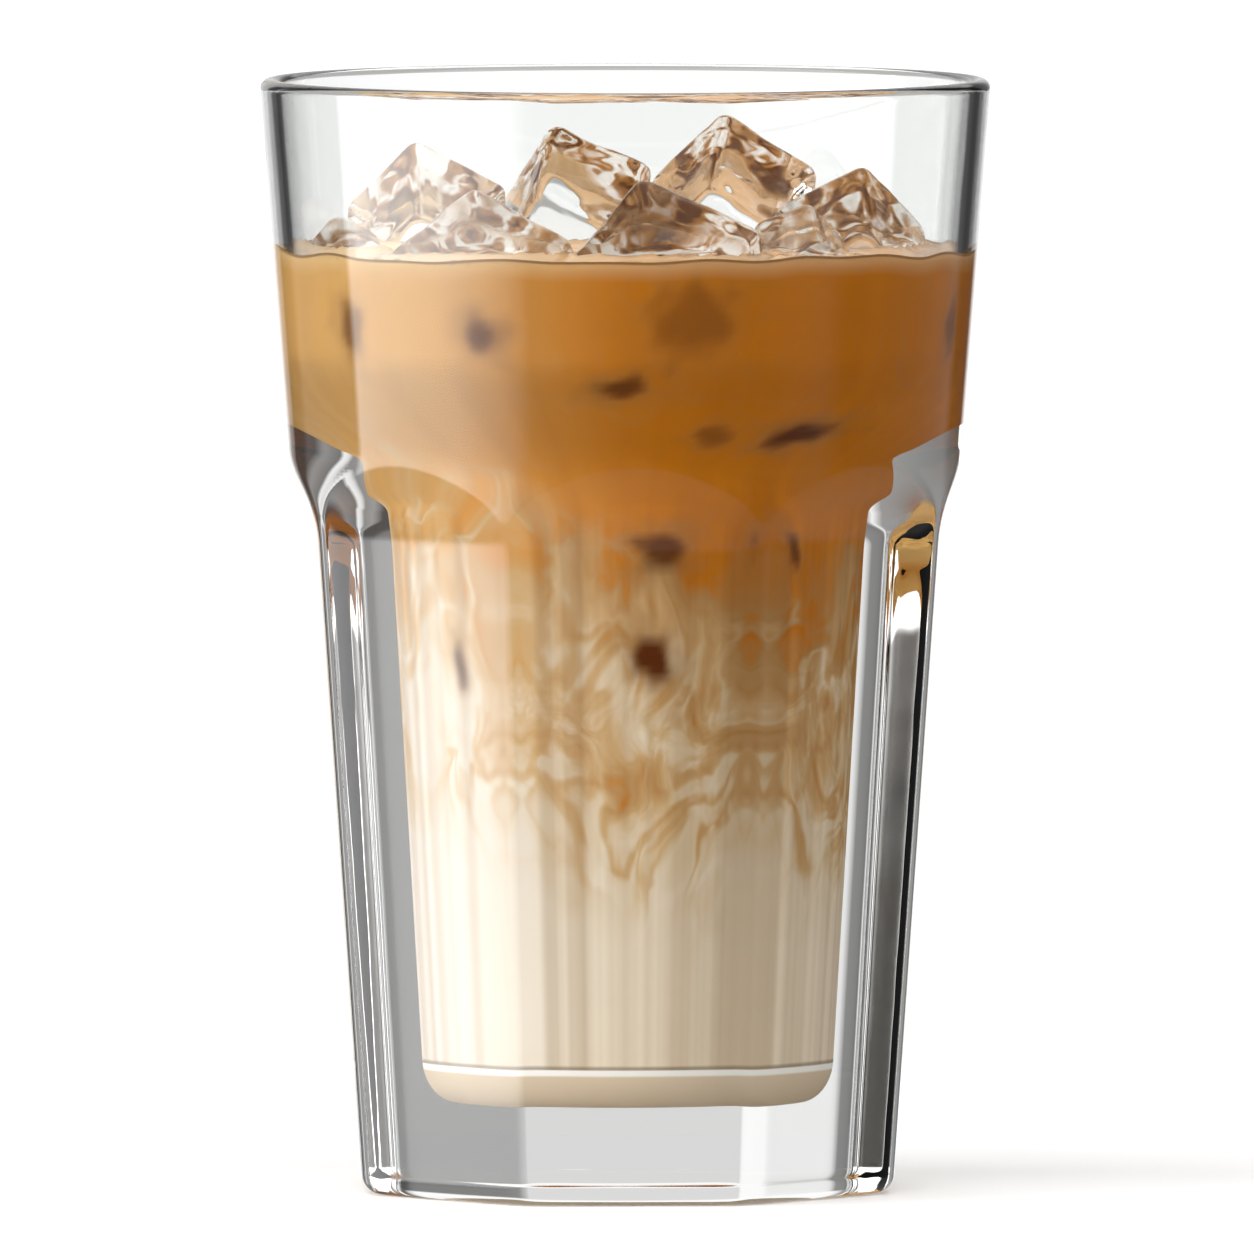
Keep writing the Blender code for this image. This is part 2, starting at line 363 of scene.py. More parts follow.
@dataclass(frozen=True)
class MilkyCoffee:
    """Cold milk and espresso running into each other: opaque, with soft swirls where they meet.

    Lengths are in millimetres. Each tone is given twice, as painted light and shade: lit for the left side,
    and painted shaded for the right side.
    """

    # Painted light and shade: each pair is the lit left tone, then the shaded right tone.
    milk: tuple[str, str] = ("#F1EAE2", "#EBDCC4")
    cream: tuple[str, str] = ("#EEE3D4", "#E1CBA8")
    tan: tuple[str, str] = ("#E6D0AF", "#D2AC79")
    caramel: tuple[str, str] = ("#E2C190", "#C2945C")
    coffee: tuple[str, str] = ("#DFAE66", "#CF7D18")
    tone_stops: tuple[float, ...] = (0.0, 0.25, 0.5, 0.78, 1.0)
    lit_to_shade_reach: Point = (-30.0, 6.0)
    border: float = 60.0
    border_half: float = 28.0
    lean: float = 0.45
    lean_end: float = 3.0
    stretch: float = 0.6
    current: Point = (17.0, 12.0)
    eddy: Point = (6.0, 4.5)
    swirl: float = 8.0
    swirl_weight: float = 1.5
    swirl_rest: float = 0.12
    wisp: float = 13.0
    wisp_width: float = 0.11
    wisp_weight: float = 2.1
    # Painted shade: upright stripes for the bands of light and dark that the panelled wall refracts onto
    # the drink.
    streak: float = 5.0
    streak_radius: float = 21.0
    streak_top: float = 84.0
    streak_fade: float = 8.0
    streak_rest: float = 0.25
    streak_shade_tones: tuple[str, str] = ("#DDD5CA", "#FFFFFF")
    streak_stops: Point = (0.36, 0.60)
    # Painted shade where sunk ice lies behind the wall: a haze and a dark core.
    sunk_shade_haze: str = "#9C7448"
    sunk_shade_core: str = "#5B2D10"
    # Painted light: the open top is painted paler, and where ice lies over it, patches of painted light and
    # painted shadow.
    surface: str = "#E6C79C"
    top_painted_light_share: float = 0.6
    under_ice_light_and_shadow: tuple[str, str, str] = ("#6E3F16", "#BC8548", "#FFFAF2")
    under_ice_stops: tuple[float, float, float] = (0.38, 0.48, 0.58)
    under_ice_size: float = 5.0
    # Painted light under the drink's edge, and painted shade and a painted highlight at the fold of the
    # well's floor.
    edge_painted_light: str = "#F0D3A4"
    edge_line: str = "#7A4E22"
    fold_height: float = 16.9
    fold_painted_light_tones: tuple[str, str, str] = ("#6E5A42", "#FFFDF8", "#D9C6AB")
    ior: float = 1.34
    top_roughness: float = 0.12
    wall_roughness: float = 0.6
    ripple_scale: float = 0.35
    ripple_depth: float = 0.15

    def material(self, side: DrinkSide) -> bpy.types.Material:
        """Make the material for one side of the drink.

        Args:
            side: Against the wall there is no gloss, because the wall wets it. The top is wet and shiny.

        Returns:
            The material.
        """
        wall = {"Specular IOR Level": 0.0, "Roughness": self.wall_roughness}
        top = {"IOR": self.ior, "Roughness": self.top_roughness}
        values = wall if side is DrinkSide.WALL else top
        tree, shader, made = new_material(f"Milky coffee, {side.name.lower()}", values)
        place = add_node(tree, "TexCoord")
        in_mm = add_node(tree, "VectorMath", {
            "operation": "SCALE", "Scale": 1 / MM, 0: (place, "Object"),
        })
        parts = add_node(tree, "SeparateXYZ", {"Vector": (in_mm, 0)})
        share = self.mixing(tree, in_mm, parts)
        tone = self.body(tree, parts, share)
        tone = self.painted_streak_shading(tree, in_mm, parts, tone)
        tone = self.sunk_ice_painted_shade(tree, tone)
        if side is DrinkSide.WALL:
            tone = self.edges(tree, parts, tone)
        else:
            tone = self.open_surface(tree, in_mm, tone)
            ripples = add_node(tree, "TexNoise", {
                "Scale": self.ripple_scale, "Detail": 2.0, "Vector": (in_mm, 0),
            })
            bump = add_node(tree, "Bump", {
                "Distance": self.ripple_depth * MM, "Strength": 0.6, "Height": (ripples, "Fac"),
            })
            tree.links.new(bump.outputs["Normal"], shader.inputs["Normal"])
        tree.links.new(tone.outputs[2], shader.inputs["Base Color"])
        return made

    def warped(self, tree: Tree, source: Node, push: Point) -> Node:
        """Push coordinates about with soft noise, as slow currents do.

        Args:
            tree: Node tree.
            source: Node with the coordinates.
            push: Size of a current and how far it pushes.

        Returns:
            The node with the moved coordinates.
        """
        drift = add_node(tree, "TexNoise", {
            "Scale": 1 / push[0], "Detail": 2.0, "Roughness": 0.5, "Vector": (source, 0),
        })
        centred = add_node(tree, "VectorMath", {
            "operation": "SUBTRACT", 1: (0.5, 0.5, 0.5), 0: (drift, "Color"),
        })
        return add_node(tree, "VectorMath", {
            "operation": "MULTIPLY_ADD", 1: (push[1],) * 3, 0: (centred, 0), 2: (source, 0),
        })

    def mixing(self, tree: Tree, in_mm: Node, parts: Node) -> Node:
        """Work out the share of coffee: 0 in the milk, 1 in the coffee, marbled in between.

        Args:
            tree: Node tree.
            in_mm: Node with the place, in millimetres.
            parts: Node with the single values of that place.

        Returns:
            The node with the share.
        """
        tall = add_node(tree, "VectorMath", {
            "operation": "MULTIPLY", 1: (1.0, 1.0, self.stretch), 0: (in_mm, 0),
        })
        moved = self.warped(tree, self.warped(tree, tall, self.current), self.eddy)
        height = add_node(tree, "SeparateXYZ", {"Vector": (moved, 0)})
        leftward = add_node(tree, "Math", {"operation": "MINIMUM", 1: self.lean_end, 0: (parts, "X")})
        leaned = add_node(tree, "Math", {
            "operation": "MULTIPLY_ADD", 1: self.lean * self.stretch, 0: (leftward, 0), 2: (height, "Z"),
        })
        plain = add_node(tree, "MapRange", {
            "interpolation_type": "SMOOTHSTEP",
            "From Min": (self.border - self.border_half) * self.stretch,
            "From Max": (self.border + self.border_half) * self.stretch, "Value": (leaned, 0),
        })
        curls = add_node(tree, "TexNoise", {
            "Scale": 1 / self.swirl, "Detail": 3.0, "Roughness": 0.5, "Distortion": 1.6,
            "Vector": (moved, 0),
        })
        centred = add_node(tree, "Math", {"operation": "SUBTRACT", 1: 0.5, 0: (curls, "Fac")})
        rest = add_node(tree, "Math", {"operation": "SUBTRACT", 0: 1.0, 1: (plain, "Result")})
        both = add_node(tree, "Math", {"operation": "MULTIPLY", 0: (plain, "Result"), 1: (rest, 0)})
        weight = add_node(tree, "Math", {
            "operation": "MULTIPLY_ADD", 1: 4 * self.swirl_weight, 2: self.swirl_rest, 0: (both, 0),
        })
        pushed = add_node(tree, "Math", {"operation": "MULTIPLY", 0: (centred, 0), 1: (weight, 0)})
        swirled = add_node(tree, "Math", {
            "operation": "ADD", "use_clamp": True, 0: (plain, "Result"), 1: (pushed, 0),
        })
        return self.wisps(tree, moved, plain, both, swirled)

    def wisps(self, tree: Tree, moved: Node, plain: Node, both: Node, swirled: Node) -> Node:
        """Draw thin curling wisps: milk in the lower coffee, coffee in the upper milk.

        Args:
            tree: Node tree.
            moved: Node with the place as the currents move it.
            plain: Node with the share of coffee before any swirl.
            both: Node that is greatest where there is as much milk as coffee.
            swirled: Node with the share of coffee that gets the wisps.

        Returns:
            The node with the new share.
        """
        field = add_node(tree, "TexNoise", {
            "Scale": 1 / self.wisp, "Detail": 2.0, "Roughness": 0.5, "Distortion": 1.4,
            "Vector": (moved, 0),
        })
        off = add_node(tree, "Math", {"operation": "SUBTRACT", 1: 0.5, 0: (field, "Fac")})
        far = add_node(tree, "Math", {"operation": "ABSOLUTE", 0: (off, 0)})
        line = add_node(tree, "MapRange", {
            "interpolation_type": "SMOOTHSTEP", "From Min": self.wisp_width, "From Max": 0.0,
            "Value": (far, 0),
        })
        side = add_node(tree, "Math", {"operation": "SUBTRACT", 0: 0.5, 1: (plain, "Result")})
        strength = add_node(tree, "Math", {"operation": "MULTIPLY", 0: (side, 0), 1: (both, 0)})
        pull = add_node(tree, "Math", {"operation": "MULTIPLY", 0: (strength, 0), 1: (line, "Result")})
        return add_node(tree, "Math", {
            "operation": "MULTIPLY_ADD", "use_clamp": True, 1: 4 * self.wisp_weight, 0: (pull, 0),
            2: (swirled, 0),
        })

    def body(self, tree: Tree, parts: Node, share: Node) -> Node:
        """Colour the share of coffee, with painted light and shade: paler at the lit left side, darker at
        the right.

        Args:
            tree: Node tree.
            parts: Node with the single values of the place, in millimetres.
            share: Node with the share of coffee.

        Returns:
            The node with the tone.
        """
        ramps = []
        tones = (self.milk, self.cream, self.tan, self.caramel, self.coffee)
        for side in (0, 1):
            ramp = add_node(tree, "ValToRGB", {"Fac": (share, 0)})
            set_ramp(ramp, [(stop, linear(tone[side])) for stop, tone in zip(self.tone_stops, tones)])
            ramps.append(ramp)
        # Painted light and shade: blend across X from the lit ramp at the left to the shaded ramp at the
        # right.
        across = add_node(tree, "MapRange", {
            "interpolation_type": "SMOOTHSTEP", "From Min": self.lit_to_shade_reach[0],
            "From Max": self.lit_to_shade_reach[1], "Value": (parts, "X"),
        })
        return add_node(tree, "Mix", {
            "data_type": "RGBA", 0: (across, "Result"), 6: (ramps[0], "Color"), 7: (ramps[1], "Color"),
        })

    def painted_streak_shading(self, tree: Tree, in_mm: Node, parts: Node, tone: Node) -> Node:
        """Lay faint upright stripes of painted shade over a tone, strongest in the milk, for the light and
        dark bands that the glass wall refracts onto the drink.

        Args:
            tree: Node tree.
            in_mm: Node with the place, in millimetres.
            parts: Node with the single values of that place.
            tone: Node with the tone.

        Returns:
            The node with the new tone.
        """
        flat = add_node(tree, "VectorMath", {"operation": "MULTIPLY", 1: (1.0, 1.0, 0.0), 0: (in_mm, 0)})
        around = add_node(tree, "VectorMath", {"operation": "NORMALIZE", 0: (flat, 0)})
        lines = add_node(tree, "TexNoise", {
            "Scale": self.streak_radius / self.streak, "Detail": 2.5, "Roughness": 0.6,
            "Vector": (around, 0),
        })
        shade = add_node(tree, "ValToRGB", {"Fac": (lines, "Fac")})
        set_ramp(shade, [(stop, linear(tint)) for stop, tint in zip(self.streak_stops, self.streak_shade_tones)])
        weight = add_node(tree, "MapRange", {
            "From Min": self.streak_top + self.streak_fade, "From Max": self.streak_top,
            "To Min": self.streak_rest, "To Max": 1.0, "Value": (parts, "Z"),
        })
        return add_node(tree, "Mix", {
            "data_type": "RGBA", "blend_type": "MULTIPLY", 0: (weight, "Result"), 6: (tone, 2),
            7: (shade, "Color"),
        })

    def sunk_ice_painted_shade(self, tree: Tree, tone: Node) -> Node:
        """Paint shade on the places where sunk ice lies close behind the wall: a soft haze and a dark core.

        Args:
            tree: Node tree.
            tone: Node with the tone.

        Returns:
            The node with the new tone.
        """
        for name, colour in (("sunk_shade_haze", self.sunk_shade_haze), ("sunk_shade_core", self.sunk_shade_core)):
            mark = add_node(tree, "Attribute", {"attribute_name": name})
            tone = add_node(tree, "Mix", {
                "data_type": "RGBA", 7: linear(colour), 0: (mark, "Fac"), 6: (tone, 2),
            })
        return tone

    def open_surface(self, tree: Tree, in_mm: Node, tone: Node) -> Node:
        """Paint light on the open surface, paler than the body, and lay painted light and painted shadow
        where ice lies over it: the bright and dark patches that ice throws on the drink below it.

        Args:
            tree: Node tree.
            in_mm: Node with the place, in millimetres.
            tone: Node with the tone.

        Returns:
            The node with the new tone.
        """
        pale = add_node(tree, "Mix", {
            "data_type": "RGBA", 0: self.top_painted_light_share, 7: linear(self.surface), 6: (tone, 2),
        })
        patches = add_node(tree, "TexNoise", {
            "Scale": 1 / self.under_ice_size, "Detail": 2.0, "Roughness": 0.5, "Distortion": 1.2,
            "Vector": (in_mm, 0),
        })
        thrown = add_node(tree, "ValToRGB", {"Fac": (patches, "Fac")})
        set_ramp(thrown, [(stop, linear(tint)) for stop, tint in zip(self.under_ice_stops, self.under_ice_light_and_shadow)])
        mark = add_node(tree, "Attribute", {"attribute_name": "under_ice_light_and_shadow"})
        return add_node(tree, "Mix", {
            "data_type": "RGBA", 0: (mark, "Fac"), 6: (pale, 2), 7: (thrown, "Color"),
        })

    def edges(self, tree: Tree, parts: Node, tone: Node) -> Node:
        """Paint light on the drink just under its edge, line the edge, and paint the fold at the well's
        floor in light and shade.

        Args:
            tree: Node tree.
            parts: Node with the single values of the place, in millimetres.
            tone: Node with the tone.

        Returns:
            The node with the new tone.
        """
        depth = add_node(tree, "Attribute", {"attribute_name": "below_edge"})
        dark, bright, floor = self.fold_painted_light_tones
        fold = self.fold_height
        # Each mark: its colour, what it depends on, where it starts, where it is full, and its full share.
        marks = (
            # Painted light just under the edge, then a dark line along the edge.
            (self.edge_painted_light, (depth, "Fac"), 2.6, 0.6, 0.4),
            (self.edge_line, (depth, "Fac"), 0.42, 0.25, 0.65),
            # Painted shade and a painted highlight along the fold, then painted shade over the rounded
            # floor, which faces down.
            (dark, (parts, "Z"), fold + 0.45, fold + 0.1, 0.6),
            (bright, (parts, "Z"), fold - 0.1, fold - 0.25, 0.9),
            (floor, (parts, "Z"), fold - 0.8, fold - 1.1, 1.0),
        )
        for colour, source, start, full, weight in marks:
            share = add_node(tree, "MapRange", {
                "From Min": start, "From Max": full, "To Max": weight, "Value": source,
            })
            tone = add_node(tree, "Mix", {
                "data_type": "RGBA", 7: linear(colour), 0: (share, "Result"), 6: (tone, 2),
            })
        return tone


@dataclass(frozen=True)
class PaleFloor:
    """Matt white laminate, as a studio table has: even, with a grain too fine to see."""

    tone: str = "#FAFAFA"
    tone_dip: str = "#F6F6F6"
    grain: float = 40 * MM
    roughness: float = 0.9
    specular: float = 0.1

    def material(self) -> bpy.types.Material:
        """Make the material."""
        values = {"Roughness": self.roughness, "Specular IOR Level": self.specular}
        tree, shader, made = new_material("Matt white laminate", values)
        place = add_node(tree, "TexCoord")
        grain = add_node(tree, "TexNoise", {"Scale": 1 / self.grain, "Vector": (place, "Object")})
        tone = add_node(tree, "Mix", {
            "data_type": "RGBA", 6: linear(self.tone_dip), 7: linear(self.tone), 0: (grain, "Fac"),
        })
        tree.links.new(tone.outputs[2], shader.inputs["Base Color"])
        return made


# Forms


@dataclass(frozen=True)
class TumblerForm:
    """Sizes of the tumbler: a cone with eight flat panels pressed into it, and a round well."""

    height: float = 140 * MM
    rim_radius: float = 46 * MM
    cone_taper: float = 0.0788
    lip_radius: float = 1.25 * MM
    foot_round: float = 2.5 * MM
    ridge_top: float = 94 * MM
    ridge_shoulder: float = 86 * MM
    ridge_shoulder_radius: float = 42.2 * MM
    ridge_taper: float = 0.0733
    panels: int = 8
    panel_turn: float = math.radians(1.75)
    panel_distance_at_foot: float = 33.4 * MM
    panel_taper: float = 0.0685
    cove_start: float = 82 * MM
    cove_radius: float = 17 * MM
    cove_angle: float = math.radians(24)
    ridge_softness: float = 0.9 * MM
    arch_softness: float = 1.1 * MM
    wall: float = 2.5 * MM
    floor_height: float = 12 * MM
    floor_round: float = 5 * MM
    well_radius_at_floor: float = 18.2 * MM
    well_radius_at_step: float = 21.8 * MM
    step_bottom: float = 90 * MM
    step_top: float = 107 * MM
    hollow_depth: float = 0.8 * MM
    hollow_radius: float = 24 * MM
    hollow_slope: float = 0.35
    columns: int = 320
    ridge_crowding: float = 0.7
    hollow_radii: tuple[float, ...] = (0.0, 5 * MM, 10 * MM, 14 * MM, 17 * MM)
    hollow_edge: float = 19 * MM
    hollow_pitch: float = 0.7 * MM
    foot_pitch: float = 2 * MM
    side_pitch: float = 3 * MM
    arch_start: float = 80 * MM
    arch_end: float = 97 * MM
    arch_pitch: float = 0.45 * MM
    upper_pitch: float = 4 * MM
    well_pitch: float = 3.5 * MM
    step_pitch: float = 0.7 * MM
    floor_pitch: float = 3 * MM
    foot_steps: int = 8
    floor_steps: int = 10
    lip_steps: int = 14

    def cone_radius(self, height: float) -> float:
        """Radius of the outer cone."""
        return self.rim_radius - (self.height - self.lip_radius - height) * self.cone_taper

    def turned_radius(self, height: float) -> float:
        """Radius of the outside before the panels are pressed in."""
        if height >= self.ridge_top:
            return self.cone_radius(height)
        if height <= self.ridge_shoulder:
            return self.ridge_shoulder_radius - (self.ridge_shoulder - height) * self.ridge_taper
        share = (height - self.ridge_shoulder) / (self.ridge_top - self.ridge_shoulder)
        rise = self.cone_radius(self.ridge_top) - self.ridge_shoulder_radius
        return self.ridge_shoulder_radius + share * rise

    def panel_distance(self, height: float) -> float:
        """Distance of a panel's middle from the axis: flat, then a cove out through the cone."""
        if height <= self.cove_start:
            return self.panel_distance_at_foot + height * self.panel_taper
        lean = math.atan(self.panel_taper)
        start = self.panel_distance_at_foot + self.cove_start * self.panel_taper
        middle = (
            start + self.cove_radius * math.cos(lean),
            self.cove_start - self.cove_radius * math.sin(lean),
        )
        end_angle = lean + self.cove_angle
        end_height = middle[1] + self.cove_radius * math.sin(end_angle)
        if height <= end_height:
            rise = (height - middle[1]) / self.cove_radius
            return middle[0] - self.cove_radius * math.sqrt(1 - rise * rise)
        end = middle[0] - self.cove_radius * math.cos(end_angle)
        return end + (height - end_height) * math.tan(end_angle)

    def outer_radius(self, azimuth: float, height: float) -> float:
        """Radius of the finished outside.

        Args:
            azimuth: Direction from the axis, in radians, from the middle of a panel.
            height: Height above the foot.

        Returns:
            The distance of the surface from the axis.
        """
        half = math.pi / self.panels
        off = (azimuth + half) % (2 * half) - half
        distance = self.panel_distance(height)
        near = distance / math.cos(off)
        far = distance / math.cos(2 * half - abs(off))
        flats = soft_min(near, far, self.ridge_softness)
        return soft_min(flats, self.turned_radius(height), self.arch_softness)

    def well_radius(self, height: float) -> float:
        """Radius of the inside, above its rounded floor edge."""
        if height >= self.step_top:
            return self.cone_radius(height) - self.wall
        if height >= self.step_bottom:
            share = ease((height - self.step_bottom) / (self.step_top - self.step_bottom))
            top = self.cone_radius(self.step_top) - self.wall
            return self.well_radius_at_step + share * (top - self.well_radius_at_step)
        share = (height - self.floor_height) / (self.step_bottom - self.floor_height)
        growth = self.well_radius_at_step - self.well_radius_at_floor
        return self.well_radius_at_floor + share * growth

    def well_profile(self, reach: float, top: float, pitch: float) -> list[Point]:
        """The inside, from a height down to the middle of the floor.

        Args:
            reach: How far the profile lies inside the wall.
            top: Height at which it starts.
            pitch: Distance between its points along the plain stretches.

        Returns:
            Its points, the last one on the axis.
        """
        centre_height = self.floor_height + self.floor_round
        centre = (self.well_radius(centre_height) - self.floor_round, centre_height)
        heights = [top] + spread(top - HOLD, self.step_top, pitch)[:-1]
        heights += spread(self.step_top, self.step_bottom, self.step_pitch)
        heights += spread(self.step_bottom, centre_height + HOLD, pitch)[1:]
        points = [(self.well_radius(height) + reach, height) for height in heights]
        points += arc(centre, self.floor_round + reach, 0, -90, self.floor_steps)
        floor = self.floor_height - reach
        points += [(radius, floor) for radius in spread(centre[0], 0.0, self.floor_pitch)[1:]]
        return points

    def outside_profile(self) -> list[Point]:
        """The outside, from the middle of the hollow underneath up to the lip's outer edge."""
        edge = spread(self.hollow_edge, self.hollow_radius, self.hollow_pitch)
        points = []
        for radius in [*self.hollow_radii, *edge]:
            share = ease((self.hollow_radius - radius) / (self.hollow_radius * self.hollow_slope))
            points.append((radius, self.hollow_depth * share))
        foot = self.turned_radius(self.foot_round) - self.foot_round
        points += [(radius, 0.0) for radius in spread(self.hollow_radius, foot, self.foot_pitch)[1:-1]]
        points += arc((foot, self.foot_round), self.foot_round, -90, 0, self.foot_steps)
        heights = spread(self.foot_round + HOLD, self.arch_start, self.side_pitch)
        heights += spread(self.arch_start, self.arch_end, self.arch_pitch)[1:]
        heights += spread(self.arch_end, self.height - self.lip_radius - HOLD, self.upper_pitch)[1:]
        return points + [(self.turned_radius(height), height) for height in heights]


@dataclass(frozen=True)
class IceCube:
    """One cube that stands out of the drink.

    The highest corner, the edges and the depth of the pocket below it are in millimetres, and how it lies
    is in degrees.
    """

    node: str
    corner: tuple[float, float, float]
    edges: tuple[float, float, float]
    azimuth: float
    lean_right: float
    lean_front: float
    pocket: float

    def place(self) -> Matrix:
        """Place of the cube's middle."""
        upright = Vector((1, 1, 1)).rotation_difference(Vector((0, 0, 1))).to_matrix()
        turn = Euler((0, 0, math.radians(self.azimuth - 45))).to_matrix()
        lean = Euler((math.radians(self.lean_front), math.radians(self.lean_right), 0)).to_matrix()
        rotation = lean @ turn @ upright
        middle = Vector(self.corner) * MM - rotation @ (Vector(self.edges) * MM / 2)
        return Matrix.Translation(middle) @ rotation.to_4x4()

    def distance(self, inverse: Matrix, point: Vector, rounding: float) -> float:
        """Distance of a point from the cube's surface, below zero inside it.

        Args:
            inverse: Inverse of the cube's place.
            point: The point.
            rounding: Radius of the cube's edges.

        Returns:
            The distance.
        """
        local = inverse @ point
        over = [abs(local[axis]) - self.edges[axis] * MM / 2 + rounding for axis in range(3)]
        outside = math.hypot(*[max(value, 0.0) for value in over])
        return outside + min(max(over), 0.0) - rounding


ICE_CUBES = (
    IceCube("ice_cube_far_left", (-36.6, -3.0, 124.0), (8, 8, 9), -80, -12, 4, 1.0),
    IceCube("ice_cube_left_back", (-27.0, 13.5, 132.8), (16, 16, 15), -92, -7, 8, 1.5),
    IceCube("ice_cube_left_front", (-18.9, -13.5, 128.0), (17, 17, 15), 95, -4, -14, 3.0),
    IceCube("ice_cube_back", (-9.3, 23.1, 134.2), (15, 16, 15), -108, -12, 2, 2.0),
    IceCube("ice_cube_front", (1.7, -17.0, 129.4), (17, 19, 16), 95, -12, -8, 3.0),
    IceCube("ice_cube_tall", (12.6, 15.0, 136.2), (16, 17, 16), -100, -3, 4, 2.0),
    IceCube("ice_cube_right", (30.2, -0.5, 130.2), (15, 15, 14), -85, 8, 6, 1.5),
    IceCube("ice_cube_small", (23.1, -15.1, 126.2), (10, 9, 10), -70, 10, 14, 1.5),
    IceCube("ice_cube_low", (24.6, -22.4, 121.8), (9, 8, 8), 95, 5, -16, 1.0),
)


@dataclass(frozen=True)
class SunkIce:
    """A place where sunk ice lies behind the wall, shown only as a patch of painted shade, in millimetres
    and degrees.
    """

    azimuth: float
    height: float
    half_width: float
    half_height: float
    slant: float
    depth: float


# Places of painted shade for the sunk ice.
SUNK_ICE = (
    SunkIce(-54, 109.6, 2.2, 3.4, 10, 0.7),
    SunkIce(-25.5, 109.6, 2.6, 2.4, -35, 0.9),
    SunkIce(11.5, 111.5, 5.6, 5.0, 25, 0.45),
    SunkIce(-1, 103.0, 3.0, 1.4, 4, 0.8),
    SunkIce(20, 97.0, 2.4, 1.3, -8, 0.5),
    SunkIce(42, 97.0, 4.6, 1.5, 4, 0.95),
    SunkIce(12, 82.6, 3.0, 3.2, 20, 0.9),
    SunkIce(46, 82.0, 1.0, 3.2, 14, 0.8),
    SunkIce(-48, 67.5, 1.2, 2.8, 12, 0.8),
    SunkIce(9, 68.6, 2.4, 3.6, 30, 1.0),
    SunkIce(72, 109.5, 1.6, 3.6, -6, 0.6),
)


# Sub-assemblies


@dataclass
class Tumbler:
    """The glass itself."""

    form: TumblerForm
    finish: PressedGlass

    def build(self) -> bpy.types.Object:
        """Spin the wall, press the eight panels into it and dress it.

        Returns:
            The finished tumbler.
        """
        form = self.form
        profile = form.outside_profile()
        lip_middle = (form.rim_radius - form.lip_radius, form.height - form.lip_radius)
        profile += arc(lip_middle, form.lip_radius, 0, 180, form.lip_steps)
        profile += form.well_profile(0.0, form.height - form.lip_radius, form.well_pitch)[1:]
        piece = turned_piece("tumbler", profile, form.columns)
        move_points(piece, self.pressed)
        piece.data.materials.append(self.finish.material())
        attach(piece, "root")
        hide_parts("glass")
        return piece

    def pressed(self, point: Vector) -> Vector:
        """Where a point of the turned wall goes when the panels are pressed.

        Args:
            point: Its place on the turned wall.

        Returns:
            Its place on the finished wall.
        """
        form = self.form
        radius = math.hypot(point.x, point.y)
        if radius < MERGE:
            return point
        azimuth = math.atan2(point.x, -point.y)
        azimuth += form.ridge_crowding / form.panels * math.sin(form.panels * azimuth)
        turned = form.turned_radius(point.z)
        inner = form.hollow_radius
        if point.z > form.floor_height:
            inner = (form.well_radius(max(point.z, form.floor_height)) + turned) / 2
        share = min(1.0, max(0.0, (radius - inner) / (turned - inner)))
        if point.z < form.height - 2 * form.lip_radius:
            radius += share * (form.outer_radius(azimuth, point.z) - turned)
        azimuth += form.panel_turn
        return Vector((radius * math.sin(azimuth), -radius * math.cos(azimuth), point.z))


